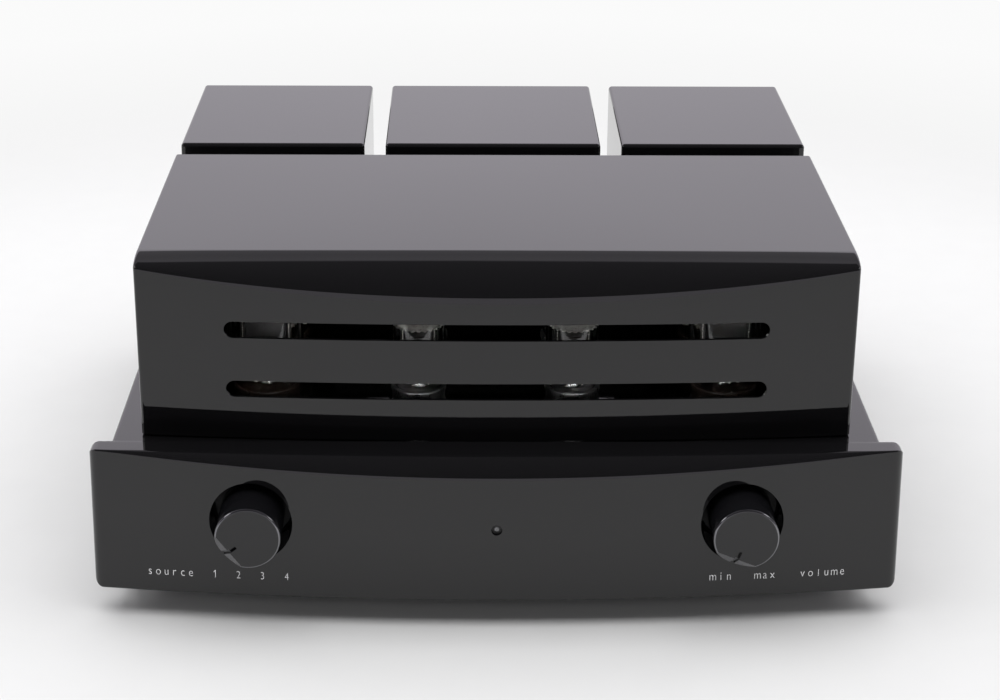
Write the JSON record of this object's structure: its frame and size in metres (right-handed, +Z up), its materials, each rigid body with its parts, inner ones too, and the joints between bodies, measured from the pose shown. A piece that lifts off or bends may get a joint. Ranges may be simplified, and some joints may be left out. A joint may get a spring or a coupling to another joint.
{
  "type": "tube amplifier",
  "caption": "Tube amplifier with a bowed glossy front, source and volume knobs, a slotted lift-off cage over the tubes and box-shaped transformer covers behind.",
  "frame": {"origin": "on the surface it stands on, under the middle of the bounding box", "axes": "+Z up, -Y towards the listener (the knobs), +X to the right as seen from the front"},
  "size_m": [0.43, 0.41, 0.1914],
  "materials": {
    "black_lacquer": "gloss",
    "chassis_paint": "gloss",
    "panel_paint": "satin",
    "knob_black": "black anodised, gloss",
    "steel_shaft": "brushed",
    "zinc_steel": "zinc plated",
    "black_screw": "black oxide",
    "foot_rubber": "matt",
    "grommet_rubber": "matt",
    "switch_body": "matt",
    "lamp_clear": "clear, unlit",
    "holder_black": "matt",
    "socket_black": "moulded",
    "base_black": "moulded",
    "tube_glass": "clear",
    "anode_grey": "carbonised",
    "core_iron": "laminated",
    "winding_tape": "taped copper",
    "board_green": "solder mask",
    "can_sleeve": "shrunk sleeve",
    "gold_plate": "gold plated",
    "ring_white": "moulded",
    "ring_red": "moulded",
    "post_red": "moulded",
    "post_black": "moulded",
    "inlet_black": "moulded",
    "fuse_glass": "clear",
    "rocker_black": "moulded"
  },
  "bodies": {
    "amplifier": {"board_standoffs": "zinc_steel", "bottom_plate": "panel_paint", "bottom_screws": "black_screw", "cage_grommets": "grommet_rubber", "chassis": "chassis_paint", "corner_posts": "zinc_steel", "driver_tube_bases": "base_black", "driver_tube_electrodes": "anode_grey", "driver_tube_envelopes": "tube_glass", "faceplate": "black_lacquer", "faceplate_screws": "zinc_steel", "feet": "foot_rubber", "foot_screws": "zinc_steel", "inlet_blades": "gold_plate", "input_jack_shells": "gold_plate", "lamp_holder": "holder_black", "left_jack_rings": "ring_white", "left_transformer_core": "core_iron", "left_transformer_cover": "black_lacquer", "left_transformer_winding": "winding_tape", "main_board": "board_green", "mains_inlet": "inlet_black", "middle_transformer_core": "core_iron", "middle_transformer_cover": "black_lacquer", "middle_transformer_winding": "winding_tape", "power_lamp": "lamp_clear", "power_switch_housing": "inlet_black", "power_tube_bases": "base_black", "power_tube_electrodes": "anode_grey", "power_tube_envelopes": "tube_glass", "rear_panel": "panel_paint", "right_jack_rings": "ring_red", "right_transformer_core": "core_iron", "right_transformer_cover": "black_lacquer", "right_transformer_winding": "winding_tape", "shaft_nuts": "zinc_steel", "source_switch": "switch_body", "speaker_post_bases": "post_black", "speaker_post_studs": "gold_plate", "supply_capacitors": "can_sleeve", "transformer_mount_plates": "zinc_steel", "tube_sockets": "socket_black", "volume_potentiometer": "switch_body"},
    "source_dial": {"source_knob": "knob_black", "source_knob_screw": "black_screw", "source_shaft": "steel_shaft"},
    "volume_dial": {"volume_knob": "knob_black", "volume_knob_screw": "black_screw", "volume_shaft": "steel_shaft"},
    "cage": {"tube_cage": "black_lacquer", "cage_pins": "black_screw"},
    "fuse_tray": {"fuse_drawer": "inlet_black", "mains_fuse": "fuse_glass"},
    "rocker": {"power_rocker": "rocker_black"},
    "post_cap_1": {"speaker_post_cap_1": "post_black"},
    "post_cap_2": {"speaker_post_cap_2": "post_red"},
    "post_cap_3": {"speaker_post_cap_3": "post_red"},
    "post_cap_4": {"speaker_post_cap_4": "post_black"},
    "post_cap_5": {"speaker_post_cap_5": "post_red"},
    "post_cap_6": {"speaker_post_cap_6": "post_red"}
  },
  "joints": [
    {"name": "source_turn", "type": "hinge", "parent": "amplifier", "child": "source_dial", "pos_m": [-0.1296, -0.19, 0.058], "axis": [0, -1, 0], "range_deg": [0, 90]},
    {"name": "volume_turn", "type": "hinge", "parent": "amplifier", "child": "volume_dial", "pos_m": [0.1296, -0.19, 0.058], "axis": [0, 1, 0], "range_deg": [0, 300]},
    {"name": "cage_lift", "type": "slide", "parent": "amplifier", "child": "cage", "axis": [0, 0, 1], "range_m": [0, 0.12]},
    {"name": "fuse_pull", "type": "slide", "parent": "amplifier", "child": "fuse_tray", "axis": [0, 1, 0], "range_m": [0, 0.017]},
    {"name": "power_tip", "type": "hinge", "parent": "amplifier", "child": "rocker", "pos_m": [0.172, 0.1795, 0.047], "axis": [-1, 0, 0], "range_deg": [0, 20]},
    {"name": "post_turn_1", "type": "hinge", "parent": "amplifier", "child": "post_cap_1", "pos_m": [0.02, 0.2, 0.054], "axis": [0, 1, 0], "range_deg": [0, 360]},
    {"name": "post_turn_2", "type": "hinge", "parent": "amplifier", "child": "post_cap_2", "pos_m": [0.044, 0.2, 0.054], "axis": [0, 1, 0], "range_deg": [0, 360]},
    {"name": "post_turn_3", "type": "hinge", "parent": "amplifier", "child": "post_cap_3", "pos_m": [0.068, 0.2, 0.054], "axis": [0, 1, 0], "range_deg": [0, 360]},
    {"name": "post_turn_4", "type": "hinge", "parent": "amplifier", "child": "post_cap_4", "pos_m": [0.092, 0.2, 0.054], "axis": [0, 1, 0], "range_deg": [0, 360]},
    {"name": "post_turn_5", "type": "hinge", "parent": "amplifier", "child": "post_cap_5", "pos_m": [0.116, 0.2, 0.054], "axis": [0, 1, 0], "range_deg": [0, 360]},
    {"name": "post_turn_6", "type": "hinge", "parent": "amplifier", "child": "post_cap_6", "pos_m": [0.14, 0.2, 0.054], "axis": [0, 1, 0], "range_deg": [0, 360]}
  ]
}
